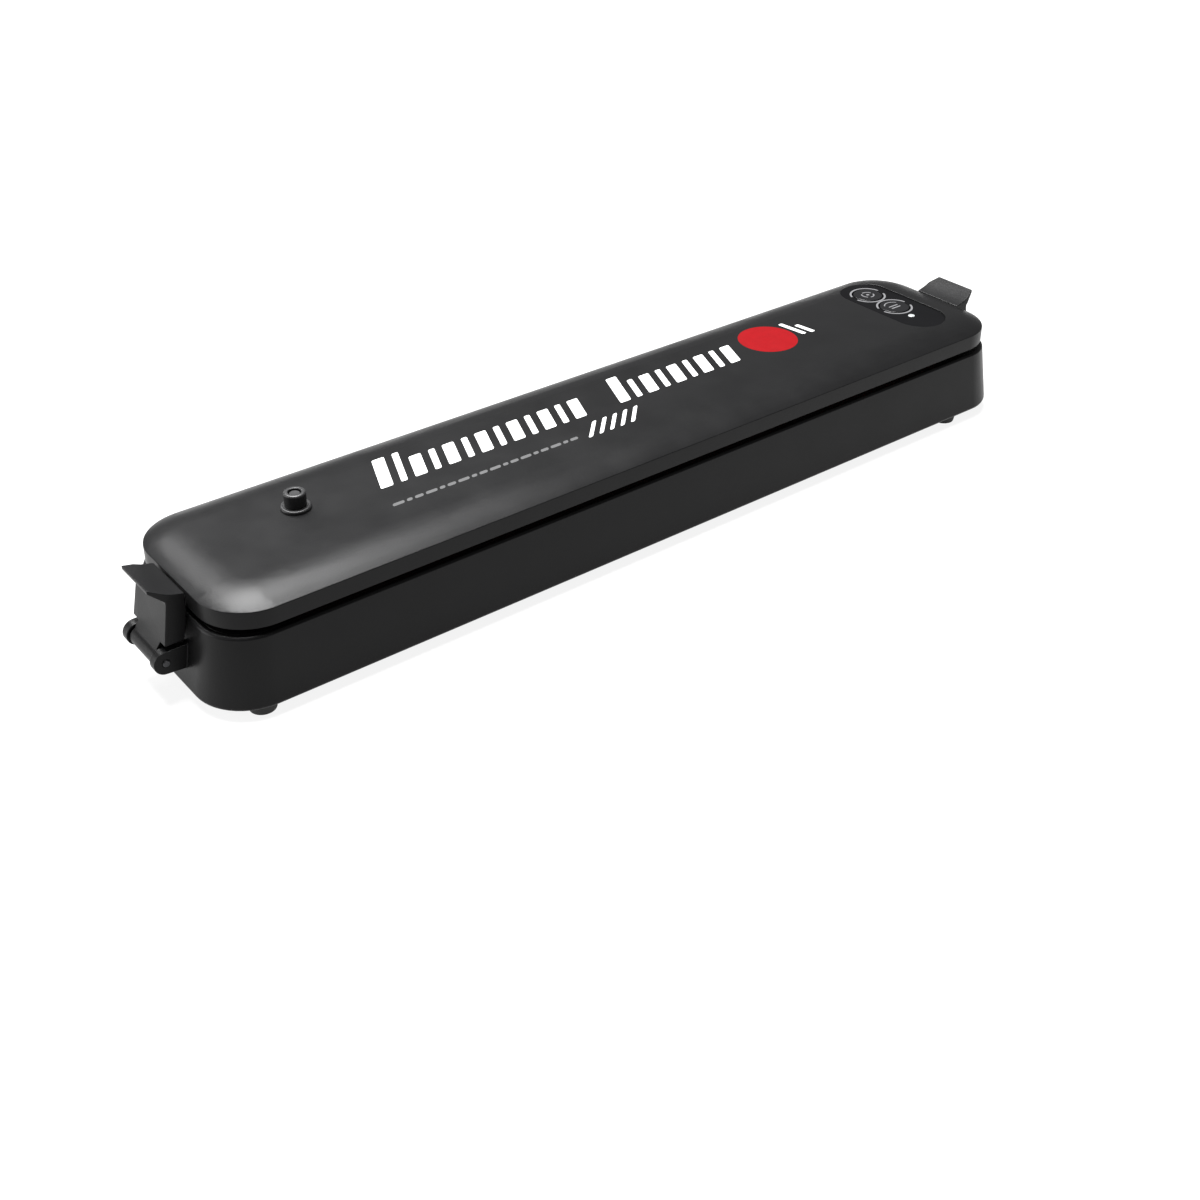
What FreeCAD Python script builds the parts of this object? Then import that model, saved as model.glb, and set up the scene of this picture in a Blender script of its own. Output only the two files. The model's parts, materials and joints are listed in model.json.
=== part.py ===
import FreeCAD, Part
import math
import os

os.makedirs("parts", exist_ok=True)

# Vacuum sealer, millimetres. +X along the body, -Y is the front where the bag goes in, +Z up.
# Heights are drawn from a plane 2 mm under the body. save() raises every piece by drawing_plane,
# which puts the origin on the resting surface, under the middle of the body.

# ---- driving dimensions -------------------------------------------------------------------
body_length = 360.0
body_width = 71.0
corner_radius = 17.0
drawing_plane = 1.6         # height of the drawing's zero above the resting surface
body_bottom = 2.0
base_height = 25.8
side_flare = 2.5            # the front and rear walls stand this much further out at the bottom
end_flare = 4.4             # and the end walls this much
parting_gap = 2.5           # dark gap between base and closed lid
lid_end_inset = 0.7         # the lid stops this far inside the base's ends
lid_corner_radius = 18.5
lid_side_height = 6.2       # upright part of the lid's wall
crown_height = 3.6          # rise from the lid's edge to its flat middle
crown_run = 16.0            # distance over which the crown rises
wall = 2.2
bottom_round = 1.6
rim_bevel = 0.7

deck_top = body_bottom + base_height
deck_thickness = 2.2
deck_under = deck_top - deck_thickness
deck_ledge = 1.0            # step inside the walls that carries the deck
cover_top = body_bottom + 2.0
lid_bottom = deck_top + parting_gap
lid_edge = lid_bottom + lid_side_height
lid_top = lid_edge + crown_height
lid_skin = 2.0
lid_inside_top = lid_top - lid_skin
inner_plate_top = lid_bottom + 1.6
lid_half_length = body_length / 2 - lid_end_inset
slip = 0.05                 # gap beside a part that drops into its seat

# ---- bag sealing zone ---------------------------------------------------------------------
trough_half_length = 140.0
trough_y = (-4.0, 16.0)
trough_depth = 10.0
trough_wall = 1.6
trough_corner = 2.0
deck_opening_corner = 1.0
panel_seam = 0.1            # gap between the deck's four panels
trough_lip = 1.2
trough_lip_thickness = 0.8
chamber_roof = lid_bottom + 2.3
chamber_roof_top = chamber_roof + 1.6
gasket_half_length = 156.0
gasket_y = (-15.0, 27.0)
gasket_width = 5.0
gasket_groove = 1.0
gasket_stand = 1.1
heater_half_length = 150.0
heater_y = -24.0
heater_width = 10.0
heater_wire_width = 2.4
heater_wire_thickness = 0.25
tape_thickness = 0.2

# ---- end latches --------------------------------------------------------------------------
latch_axis_out = 9.5        # distance of the pin outside the body's end
latch_axis_z = 14.3
latch_half_width = 11.15    # at the lid's edge
latch_foot_half_width = 11.8
latch_lip_half_width = 9.4
barrel_radius = 3.3
barrel_half_length = 8.1
ear_radius = 4.1
ear_y = (8.5, 12.0)
ear_droop = 0.6
latch_pin_radius = 1.25
running_clearance = 0.05
seat_clearance = 0.02
cheek_thickness = 2.0

# ---- rear hinges --------------------------------------------------------------------------
hinge_x = 115.0
hinge_y = 37.4
hinge_z = (deck_top + lid_bottom) / 2
knuckle_radius = 2.6
knuckle_sweep = 2.95
lid_knuckle_half = 6.0
base_knuckle_outer = 14.0
hinge_gap = 0.35
hinge_pin_radius = 1.0

# ---- control panel ------------------------------------------------------------------------
panel_x = 153.0
panel_y = 2.0
panel_half_width = 11.0
panel_half_length = 26.0
panel_top = lid_top - 0.55
panel_thickness = 1.6
panel_under = panel_top - panel_thickness
button_radius = 6.2
button_hole_radius = 6.55
button_places = {"vacuum_button": 16.0, "seal_button": 0.5}
button_flange_radius = 7.0
lens_y = -10.5
lens_radius = 1.4
board_top = 34.45
board_thickness = 1.2

# ---- hose port on the lid -----------------------------------------------------------------
port_x = -130.0
port_y = 7.8
port_stem_radius = 3.8      # the spigot that takes the hose
port_root_radius = 4.2      # where it passes through the lid and the collar
port_relief_radius = 3.5
port_relief_height = 0.5
port_stem_top = 46.5
port_bore_radius = 2.2
port_collar_radius = 5.3
port_collar_top = lid_top + 1.3
port_chamber_radius = 4.0
valve_seat_z = 37.9

# ---- power inlet --------------------------------------------------------------------------
inlet_x = -152.0
inlet_z = 14.0
inlet_pin_spacing = 8.6
inlet_pin_radius = 1.2

# ---- pump ---------------------------------------------------------------------------------
pump_axis_y = -19.7
pump_axis_z = 14.6
motor_x = (48.0, 78.0)
motor_radius = 9.6
crank_throw = 0.9

# ---- feet ---------------------------------------------------------------------------------
foot_radius = 5.2
foot_tread_radius = 4.6
foot_x = {"left": -167.5, "right": 154.0}
foot_y = {"front": -31.0, "rear": 31.0}
foot_stub_radius = 2.5

UP = FreeCAD.Vector(0, 0, 1)


def point(x, y, z):
    return FreeCAD.Vector(x, y, z)


def box(x, y, z):
    """Block between the low and high value along each axis."""
    return Part.makeBox(x[1] - x[0], y[1] - y[0], z[1] - z[0], point(x[0], y[0], z[0]))


def rod(radius, start, end):
    """Solid cylinder from start to end."""
    run = end - start
    return Part.makeCylinder(radius, run.Length, start, run)


def fuse_all(shapes):
    first, rest = shapes[0], shapes[1:]
    joined = first.multiFuse(rest) if rest else first
    return joined.removeSplitter()


def group(shapes):
    """Separate solids kept side by side in one node."""
    return Part.makeCompound(shapes)


def outline(half_x, half_y, radius, z, middle=(0.0, 0.0)):
    """Rounded rectangle at height z."""
    edges = []
    corners = [(1, -1, -90), (1, 1, 0), (-1, 1, 90), (-1, -1, 180)]
    starts, ends = [], []
    for side_x, side_y, angle in corners:
        centre = point(middle[0] + side_x * (half_x - radius), middle[1] + side_y * (half_y - radius), z)
        arc = Part.Arc(Part.Circle(centre, UP, radius), math.radians(angle), math.radians(angle + 90))
        starts.append(arc.StartPoint)
        ends.append(arc.EndPoint)
        edges.append(arc.toShape())
    wires = []
    for i in range(4):
        wires.append(edges[i])
        wires.append(Part.makeLine(ends[i], starts[(i + 1) % 4]))
    return Part.Wire(wires)


def plate(half_x, half_y, radius, z, middle=(0.0, 0.0)):
    """Flat rounded plate between two heights."""
    face = Part.Face(outline(half_x, half_y, radius, z[0], middle))
    return face.extrude(point(0, 0, z[1] - z[0]))


def frame_ring(half_x, half_y, radius, width, z, middle=(0.0, 0.0)):
    outer = plate(half_x, half_y, radius, z, middle)
    return outer.cut(plate(half_x - width, half_y - width, radius - width, z, middle))


def prism(points_2d, along, span):
    """Extrude a closed polygon along X or Y; its points are (other horizontal axis, z)."""
    if along == "x":
        corners = [point(span[0], a, z) for a, z in points_2d]
        travel = point(span[1] - span[0], 0, 0)
    else:
        corners = [point(a, span[0], z) for a, z in points_2d]
        travel = point(0, span[1] - span[0], 0)
    face = Part.Face(Part.makePolygon(corners + [corners[0]]))
    return face.extrude(travel)


def routed(points, radius, bend):
    """Round lead or tube along straight runs joined by tangent arcs."""
    edges = []
    here = points[0]
    for i in range(1, len(points) - 1):
        before = (points[i - 1] - points[i]).normalize()
        after = (points[i + 1] - points[i]).normalize()
        half_turn = before.getAngle(after) / 2
        back = bend / math.tan(half_turn)
        into = points[i] + before * back
        out = points[i] + after * back
        bisector = (before + after).normalize()
        middle = points[i] + bisector * (bend / math.sin(half_turn) - bend)
        edges.append(Part.makeLine(here, into))
        edges.append(Part.Arc(into, middle, out).toShape())
        here = out
    edges.append(Part.makeLine(here, points[-1]))
    path = Part.Wire(edges)
    start_run = points[1] - points[0]
    section = Part.Wire([Part.makeCircle(radius, points[0], start_run)])
    return path.makePipeShell([section], True, False)


def tapping_screw(x, y, head_bottom, head_radius, shank_radius, length):
    """Pan-head screw driven upwards, with a cross recess in its head."""
    head_height = head_radius * 0.55
    head = rod(head_radius, point(x, y, head_bottom), point(x, y, head_bottom + head_height))
    head = head.makeFillet(head_height * 0.45, [edge for edge in head.Edges
                                                if edge.BoundBox.ZMax < head_bottom + 0.01])
    shank = rod(shank_radius, point(x, y, head_bottom), point(x, y, head_bottom + length))
    slot_long, slot_wide, slot_deep = head_radius * 0.55, head_radius * 0.14, head_height * 0.6
    recess = box((x - slot_long, x + slot_long), (y - slot_wide, y + slot_wide),
                 (head_bottom, head_bottom + slot_deep))
    cross = box((x - slot_wide, x + slot_wide), (y - slot_long, y + slot_long),
                (head_bottom, head_bottom + slot_deep))
    return head.fuse(shank).cut(recess).cut(cross)


def save(name, shape):
    solids = shape.Solids
    volume = sum(solid.Volume for solid in solids)
    print(f"{name:24s} solids {len(solids)}  volume {volume:10.1f}  valid {shape.isValid()}")
    shape.translated(point(0, 0, drawing_plane)).exportStep("parts/" + name + ".step")


def end_x(side, out):
    """X of a point that stands out from the body's end, on the left (-1) or right (+1)."""
    return side * (body_length / 2 + out)


def flare_at(z, flare):
    """How far a base wall stands out at height z, against its upper edge."""
    return flare * (deck_top - z) / base_height


def base_outline(z, inset):
    side = flare_at(z, side_flare)
    return outline(body_length / 2 + flare_at(z, end_flare) - inset, body_width / 2 + side - inset,
                   corner_radius + side - inset, z)


def gasket_middle():
    return (0.0, sum(gasket_y) / 2)


def gasket_ring(width, z):
    half_y = (gasket_y[1] - gasket_y[0]) / 2
    slack = (gasket_width - width) / 2
    return frame_ring(gasket_half_length - slack, half_y - slack, 12.0 - slack, width, z, gasket_middle())


# ---- base ---------------------------------------------------------------------------------
cover_screw_places = [(-158.0, -28.0), (20.0, -29.0), (135.0, -29.0), (-120.0, 29.0), (20.0, 29.0),
                      (135.0, 29.0)]
trough_middle = (0.0, sum(trough_y) / 2)
trough_half_width = (trough_y[1] - trough_y[0]) / 2
trough_floor = deck_top - trough_depth
suction_x = 118.0
suction_y = 6.0
lead_hole = (128.0, 30.6)
lead_hole_radius = 1.6


def base_outer():
    sections = []
    for step in range(5):
        turn = math.radians(90 * step / 4)
        z = body_bottom + bottom_round * (1 - math.cos(turn))
        sections.append(base_outline(z, bottom_round * (1 - math.sin(turn))))
    sections.append(base_outline(deck_top - rim_bevel, 0.0))
    sections.append(base_outline(deck_top, rim_bevel))
    return Part.makeLoft(sections, True, True)


def base_inside(z, inset):
    """Space inside the base walls between two heights."""
    return Part.makeLoft([base_outline(z[0], inset), base_outline(z[1], inset)], True, True)


def latch_ear(side, span):
    """Ear that carries one end of a latch pin, with its arm back to the end wall."""
    axis_x = end_x(side, latch_axis_out)
    high = latch_axis_z + ear_radius
    low = latch_axis_z - ear_radius
    wall_middle = wall / 2
    eye = rod(ear_radius, point(axis_x, span[0], latch_axis_z), point(axis_x, span[1], latch_axis_z))
    arm = prism([(end_x(side, flare_at(high, end_flare) - wall_middle), high), (axis_x, high), (axis_x, low),
                 (end_x(side, flare_at(low, end_flare) - wall_middle), low - ear_droop)], "y", span)
    hole = rod(latch_pin_radius + seat_clearance, point(axis_x, span[0] - 1, latch_axis_z),
               point(axis_x, span[1] + 1, latch_axis_z))
    return eye.fuse(arm).cut(hole)


def knuckle(side, spans, arm_points, hole_radius):
    parts = []
    for low, high in spans:
        x0, x1 = side * hinge_x + low, side * hinge_x + high
        parts.append(rod(knuckle_radius, point(x0, hinge_y, hinge_z), point(x1, hinge_y, hinge_z)))
        parts.append(prism(arm_points, "x", (x0, x1)))
    hole = rod(hole_radius, point(side * hinge_x - 20, hinge_y, hinge_z),
               point(side * hinge_x + 20, hinge_y, hinge_z))
    return [part.cut(hole) for part in parts]


def base_shell():
    """Four outer walls with the latch ears, the fixed hinge knuckles and the inlet's window."""
    ledge_z = (deck_under - 1.5, deck_under)
    ledge = base_inside(ledge_z, wall - 0.2).cut(base_inside(ledge_z, wall + deck_ledge))
    pieces = [base_outer().cut(base_inside((body_bottom - 0.5, deck_top + 0.5), wall)), ledge]
    for side in (-1, 1):
        for low, high in (ear_y, (-ear_y[1], -ear_y[0])):
            pieces.append(latch_ear(side, (low, high)))
        spans = [(lid_knuckle_half + hinge_gap, base_knuckle_outer),
                 (-base_knuckle_outer, -lid_knuckle_half - hinge_gap)]
        foot_of_arm = [(34.6, 19.0), (36.3, 19.0), (hinge_y + knuckle_radius, 25.0),
                       (hinge_y + knuckle_radius, hinge_z), (hinge_y - knuckle_radius, hinge_z),
                       (hinge_y - knuckle_radius, deck_top - 0.5), (34.6, deck_top - 2.0)]
        pieces += knuckle(side, spans, foot_of_arm, hinge_pin_radius + seat_clearance)
    shell = fuse_all(pieces)
    shell = shell.cut(box((inlet_x - 11.1, inlet_x + 11.1), (26.0, 45.0), (inlet_z - 6.6, inlet_z + 6.6)))
    reach = lid_knuckle_half + hinge_gap
    for side in (-1, 1):
        shell = shell.cut(rod(knuckle_sweep, point(side * hinge_x - reach, hinge_y, hinge_z),
                              point(side * hinge_x + reach, hinge_y, hinge_z)))
    return shell


def trough_block(grow, z):
    """Rounded block round the trough's hollow, grown by the given amount."""
    return plate(trough_half_length + grow, trough_half_width + grow, trough_corner + grow, z,
                 trough_middle)


def deck_plate():
    """Top of the base: front, rear and end panels laid on the ledge round the trough."""
    inset = wall + slip
    deck = plate(body_length / 2 - inset, body_width / 2 - inset, corner_radius - inset,
                 (deck_under, deck_top))
    posts = [rod(3.4, point(x, y, cover_top + 1.5), point(x, y, deck_under + 0.5))
             for x, y in cover_screw_places]
    deck = fuse_all([deck] + posts)
    opening_x = trough_half_length + trough_wall + slip
    opening_y = trough_half_width + trough_wall + slip
    cuts = [plate(opening_x, opening_y, deck_opening_corner, (deck_under - 1, deck_top + 1), trough_middle),
            trough_block(trough_wall + trough_lip + slip, (deck_top - trough_lip_thickness, deck_top + 1)),
            gasket_ring(gasket_width, (deck_top - gasket_groove, deck_top + 1)),
            plate(heater_half_length + 2, heater_width / 2 + 0.1, 1.0, (deck_top - 0.9, deck_top + 1),
                  (0.0, heater_y)),
            rod(lead_hole_radius, point(*lead_hole, deck_under - 1), point(*lead_hole, deck_top + 1))]
    for x, y in cover_screw_places:
        cuts.append(rod(1.32, point(x, y, cover_top), point(x, y, cover_top + 14)))
    for side in (-1, 1):
        x = side * (heater_half_length - 0.6)
        cuts.append(box((x - 0.5, x + 0.5), (heater_y - 1.5, heater_y + 1.5), (deck_under - 1, deck_top)))
        ends = sorted((side * (opening_x - 1), side * body_length / 2))
        for y in (trough_middle[1] - opening_y, trough_middle[1] + opening_y):
            cuts.append(box(ends, (y - panel_seam / 2, y + panel_seam / 2), (deck_under - 1, deck_top + 1)))
    for cut in cuts:
        deck = deck.cut(cut)
    return deck


def vacuum_trough():
    """Drop-in tray that the bag's mouth hangs into, with a barb below for the pump's tube."""
    under = trough_floor - trough_wall
    tray = fuse_all([trough_block(trough_wall, (under, deck_top)),
                     trough_block(trough_wall + trough_lip, (deck_top - trough_lip_thickness, deck_top)),
                     rod(1.4, point(suction_x, suction_y, under - 5),
                         point(suction_x, suction_y, trough_floor))])
    tray = tray.cut(trough_block(0.0, (trough_floor, deck_top + 1)))
    return tray.cut(rod(0.8, point(suction_x, suction_y, 0), point(suction_x, suction_y, deck_top)))


def bottom_cover():
    """Plate closing the base from below, with standoffs for the board and vents."""
    inset = wall + 0.1
    side = flare_at(cover_top, side_flare) - inset
    cover = plate(body_length / 2 + flare_at(cover_top, end_flare) - inset, body_width / 2 + side,
                  corner_radius + side, (body_bottom, cover_top))
    pieces = [cover]
    for x, y in cover_screw_places:
        pieces.append(rod(4.4, point(x, y, cover_top - 0.5), point(x, y, cover_top + 1.4)))
    for x in (-136.0, -44.0):
        for y in (-27.5, -11.5):
            pieces.append(rod(2.2, point(x, y, cover_top - 0.5), point(x, y, 7.0)))
    cover = fuse_all(pieces)
    for x, y in cover_screw_places:
        cover = cover.cut(rod(3.0, point(x, y, body_bottom - 1), point(x, y, cover_top + 0.1)))
        cover = cover.cut(rod(1.6, point(x, y, body_bottom - 1), point(x, y, cover_top + 3)))
    for x in foot_x.values():
        for y in foot_y.values():
            cover = cover.cut(rod(foot_stub_radius + seat_clearance, point(x, y, 0),
                                  point(x, y, cover_top + 1)))
    for i in range(7):
        x = 62.0 + 5.0 * i
        cover = cover.cut(plate(1.0, 9.0, 0.95, (body_bottom - 1, cover_top + 1), (x, 12.0)))
    return cover


def cover_screws():
    return group([tapping_screw(x, y, body_bottom + 0.6, 2.7, 1.3, 12.0) for x, y in cover_screw_places])


def foot(x, y):
    """Round rubber foot with a stub pushed into the cover."""
    pad = Part.makeCone(foot_tread_radius, foot_radius, body_bottom + drawing_plane,
                        point(x, y, -drawing_plane))
    pad = pad.makeFillet(0.6, [edge for edge in pad.Edges if edge.BoundBox.ZMax < 0.01 - drawing_plane])
    return pad.fuse(rod(foot_stub_radius, point(x, y, body_bottom - 0.1), point(x, y, cover_top + 0.4)))


def lower_gasket():
    return gasket_ring(gasket_width - 0.1, (deck_top - gasket_groove, deck_top + gasket_stand))


def heater_bed():
    """Heat-proof bar under the wire, with a shallow groove and a slot at each end."""
    bed_top = deck_top + 0.6
    bed = plate(heater_half_length + 1.9, heater_width / 2, 0.9, (deck_top - 0.9, bed_top), (0.0, heater_y))
    groove = heater_wire_width / 2 + 0.1
    reach = heater_half_length - 0.4
    bed = bed.cut(box((-reach, reach), (heater_y - groove, heater_y + groove), (bed_top - 0.3, bed_top + 1)))
    for side in (-1, 1):
        x = side * (heater_half_length - 0.6)
        bed = bed.cut(box((x - 0.35, x + 0.35), (heater_y - groove, heater_y + groove), (20.0, bed_top + 1)))
    return bed


def heating_wire():
    """Flat resistance strip whose ends fold down through the deck."""
    top = deck_top + 0.55
    half = heater_wire_width / 2
    reach = heater_half_length - 0.5
    strip = box((-reach, reach), (heater_y - half, heater_y + half), (top - heater_wire_thickness, top))
    legs = []
    for side in (-1, 1):
        outer = side * reach
        inner = side * (reach - heater_wire_thickness)
        legs.append(box((min(outer, inner), max(outer, inner)), (heater_y - half, heater_y + half),
                        (20.0, top)))
    return fuse_all([strip] + legs)


def release_tape():
    bed_top = deck_top + 0.6
    return plate(heater_half_length + 1.5, heater_width / 2 - 0.4, 0.5,
                 (bed_top, bed_top + tape_thickness), (0.0, heater_y))


def heater_clamps():
    """Brass blocks that grip the folded wire ends under the deck."""
    blocks = []
    for side in (-1, 1):
        x = side * (heater_half_length - 0.5 - heater_wire_thickness / 2)
        block = box((x - 3.0, x + 3.0), (heater_y - 3.5, heater_y + 3.5), (19.0, deck_under - 1.2))
        slot = box((x - 0.2, x + 0.2), (heater_y - 1.3, heater_y + 1.3), (19.8, deck_under))
        screw_hole = rod(1.0, point(x - 4, heater_y + 2.4, 21.5), point(x + 4, heater_y + 2.4, 21.5))
        blocks.append(block.cut(slot).cut(screw_hole))
    return group(blocks)


def power_inlet():
    """Appliance inlet for a two-pin lead: a housing with a figure-of-eight socket."""
    face_y = 37.3
    back_y = 22.0
    socket_depth = 10.5
    body = box((inlet_x - 11, inlet_x + 11), (27.2, face_y), (inlet_z - 6.5, inlet_z + 6.5))
    rear = box((inlet_x - 8.5, inlet_x + 8.5), (back_y, 27.2), (inlet_z - 5.0, inlet_z + 5.0))
    body = body.fuse(rear)
    lobes = []
    for side in (-1, 1):
        x = inlet_x + side * inlet_pin_spacing / 2
        lobes.append(rod(4.1, point(x, face_y - socket_depth, inlet_z), point(x, face_y + 1, inlet_z)))
    lobes.append(box((inlet_x - inlet_pin_spacing / 2, inlet_x + inlet_pin_spacing / 2),
                     (face_y - socket_depth, face_y + 1), (inlet_z - 3.2, inlet_z + 3.2)))
    body = body.cut(fuse_all(lobes))
    for side in (-1, 1):
        x = inlet_x + side * inlet_pin_spacing / 2
        body = body.cut(rod(inlet_pin_radius + seat_clearance, point(x, back_y - 1, inlet_z),
                            point(x, face_y, inlet_z)))
    return body


def inlet_pins():
    pins = []
    for side in (-1, 1):
        x = inlet_x + side * inlet_pin_spacing / 2
        pin = rod(inlet_pin_radius, point(x, 18.5, inlet_z), point(x, 35.8, inlet_z))
        pins.append(pin.makeFillet(0.7, [edge for edge in pin.Edges if edge.BoundBox.YMin > 35.7]))
    return group(pins)


# ---- electronics --------------------------------------------------------------------------
main_board_z = (7.0, 8.4)


def main_board():
    board = box((-140.0, -40.0), (-31.0, -8.0), main_board_z)
    for x in (-136.0, -44.0):
        for y in (-27.5, -11.5):
            board = board.cut(rod(1.1, point(x, y, 6), point(x, y, 10)))
    return board


def transformer_core():
    """Laminated frame with two windows for the winding."""
    core = box((-76.0, -50.0), (-29.0, -11.0), (main_board_z[1], main_board_z[1] + 14.0))
    for x in (-72.0, -60.0):
        core = core.cut(box((x, x + 6.0), (-30.0, -10.0), (main_board_z[1] + 3.0, main_board_z[1] + 11.0)))
    return core


def transformer_winding():
    """Winding round the core's middle leg, proud of the core at front and back."""
    z0 = main_board_z[1] + 3.2
    z1 = main_board_z[1] + 10.8
    outer = box((-71.8, -54.2), (-30.6, -9.4), (z0, z1))
    leg = box((-66.1, -59.9), (-29.1, -10.9), (z0 - 1, z1 + 1))
    return outer.cut(leg)


def filter_capacitor():
    can = rod(4.0, point(-101.0, -13.0, main_board_z[1] + 4.0), point(-85.0, -13.0, main_board_z[1] + 4.0))
    return can.makeFillet(0.6, can.Edges[:1] + can.Edges[2:3])


def relay():
    case = box((-124.0, -108.0), (-29.0, -17.0), (main_board_z[1], main_board_z[1] + 12.0))
    return case.makeFillet(0.6, [edge for edge in case.Edges if edge.BoundBox.ZMin > main_board_z[1] + 0.1])


def terminal_block():
    block = box((-139.0, -130.0), (-25.0, -12.0), (main_board_z[1], main_board_z[1] + 9.0))
    for y in (-22.0, -15.0):
        block = block.cut(rod(1.4, point(-134.5, y, 12.0), point(-134.5, y, 20.0)))
        block = block.cut(rod(1.2, point(-140.0, y, 11.0), point(-136.0, y, 11.0)))
    return block


def mains_fuse():
    glass_z = main_board_z[1] + 2.9
    return rod(2.6, point(-124.0, -12.5, glass_z), point(-104.5, -12.5, glass_z))


def inlet_leads():
    leads = []
    for side, end_y in ((-1, -22.0), (1, -15.0)):
        x = inlet_x + side * inlet_pin_spacing / 2
        leads.append(routed([point(x, 18.4, inlet_z), point(x, end_y, inlet_z), point(-147.0, end_y, 11.0),
                             point(-140.2, end_y, 11.0)] if side > 0 else
                            [point(x, 18.4, inlet_z), point(x, end_y, inlet_z), point(-149.0, end_y, 11.0),
                             point(-140.2, end_y, 11.0)], 0.9, 1.9))
    return group(leads)


def heater_leads():
    """One lead to each clamp, laid under the deck along the front wall."""
    left = routed([point(-128.0, -9.2, 8.5), point(-128.0, -9.2, 12.5), point(-128.0, -6.4, 12.5),
                   point(-141.0, -6.4, 12.5), point(-141.0, -24.0, 21.0), point(-146.2, -24.0, 21.0)],
                  0.8, 1.3)
    right = routed([point(-48.0, -9.2, 8.5), point(-48.0, -9.2, 14.0), point(-48.0, -6.4, 14.0),
                    point(40.0, 12.0, 14.0), point(146.5, 12.0, 14.0), point(146.5, -4.0, 20.5),
                    point(146.5, -20.3, 20.5)], 0.8, 1.3)
    return group([left, right])


def pump_leads():
    """Pair of leads from the board to the motor's rear terminals."""
    leads = []
    for side in (-1, 1):
        y = pump_axis_y + side * 4.5
        leads.append(routed([point(-41.0, y, 8.5), point(-41.0, y, 11.5), point(47.0, y, 11.5)], 0.8, 1.5))
    return group(leads)


def base_panel_lead():
    """Lower half of the lead to the lid's control board; it ends in the deck's rear hole."""
    x, y = lead_hole
    return routed([point(-80.5, -9.6, 8.5), point(-80.5, -9.6, 12.0), point(-80.5, 24.0, 12.0),
                   point(x, 24.0, 12.0), point(x, y, 16.0), point(x, y, deck_top - 0.2)], 1.1, 2.2)


# ---- pump ---------------------------------------------------------------------------------
crankcase_x = (79.0, 96.0)
crankcase_y = (pump_axis_y - 9.5, pump_axis_y + 9.0)
crankcase_z = (5.0, 24.2)
diaphragm_y = (crankcase_y[1], crankcase_y[1] + 1.2)
pump_cap_y = (diaphragm_y[1], diaphragm_y[1] + 2.4)
barb_y = sum(pump_cap_y) / 2
pump_corner_places = [(81.2, 7.2), (93.8, 7.2), (81.2, 22.0), (93.8, 22.0)]
pump_port_z = 10.0


def along_pump(radius, x0, x1, rise=0.0):
    return rod(radius, point(x0, pump_axis_y, pump_axis_z + rise), point(x1, pump_axis_y, pump_axis_z + rise))


def pump_motor():
    can = along_pump(motor_radius, *motor_x)
    can = can.makeFillet(0.8, [edge for edge in can.Edges if edge.BoundBox.XLength < 0.01])
    boss = along_pump(3.0, motor_x[1], motor_x[1] + 1.0)
    rear_boss = along_pump(3.0, motor_x[0] - 1.5, motor_x[0])
    motor = fuse_all([can, boss, rear_boss])
    return motor.cut(along_pump(hinge_pin_radius + running_clearance, motor_x[0] - 1.0, motor_x[1] + 2))


def pump_cradle():
    """Rubber sleeve that quiets the motor."""
    return along_pump(10.3, 56.0, 68.0).cut(along_pump(motor_radius + seat_clearance, 50.0, 70.0))


def motor_shaft():
    return along_pump(hinge_pin_radius, motor_x[0] - 0.6, 82.0)


def pump_crank():
    """Disc on the motor shaft with an offset pin."""
    disc = along_pump(4.2, 82.0, 85.0)
    return disc.fuse(along_pump(1.0, 84.0, 90.5, crank_throw))


def pump_crankcase():
    case = box(crankcase_x, crankcase_y, crankcase_z)
    case = case.cut(box((crankcase_x[0] + 1.8, crankcase_x[1] - 1.8),
                        (crankcase_y[0] + 2.5, crankcase_y[1] + 1.0), (8.6, 20.6)))
    case = case.cut(along_pump(3.3, 70.0, 84.0))
    for x, z in pump_corner_places:
        case = case.cut(rod(0.85, point(x, -24.0, z), point(x, -5.0, z)))
    return case


def pump_rod():
    """Connecting rod from the crank pin to the diaphragm's centre."""
    eye = rod(4.4, point(86.0, pump_axis_y, pump_axis_z), point(89.5, pump_axis_y, pump_axis_z))
    neck = box((86.0, 89.5), (pump_axis_y, crankcase_y[1] - 0.9), (pump_axis_z - 1.6, pump_axis_z + 1.6))
    button = rod(3.4, point(87.75, crankcase_y[1] - 1.1, pump_axis_z),
                 point(87.75, diaphragm_y[0], pump_axis_z))
    hole = along_pump(2.3, 80.0, 95.0)
    return fuse_all([eye, neck, button]).cut(hole)


def pump_diaphragm():
    sheet = box(crankcase_x, diaphragm_y, crankcase_z)
    for x, z in pump_corner_places:
        sheet = sheet.cut(rod(0.85, point(x, -24.0, z), point(x, -5.0, z)))
    return sheet


def pump_cap():
    """Valve cap with the suction barb."""
    cap = box(crankcase_x, pump_cap_y, crankcase_z)
    barb = rod(1.4, point(crankcase_x[1], barb_y, pump_port_z),
               point(crankcase_x[1] + 5.0, barb_y, pump_port_z))
    cap = cap.fuse(barb)
    cap = cap.cut(rod(0.7, point(crankcase_x[1] - 6.0, barb_y, pump_port_z),
                      point(crankcase_x[1] + 6.0, barb_y, pump_port_z)))
    for x, z in pump_corner_places:
        cap = cap.cut(rod(0.85, point(x, -24.0, z), point(x, -5.0, z)))
    return cap


def pump_screws():
    screws = []
    for x, z in pump_corner_places:
        head = rod(1.5, point(x, pump_cap_y[1], z), point(x, pump_cap_y[1] + 0.9, z))
        screws.append(head.fuse(rod(0.8, point(x, -20.0, z), point(x, pump_cap_y[1] + 0.5, z))))
    return group(screws)


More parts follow.
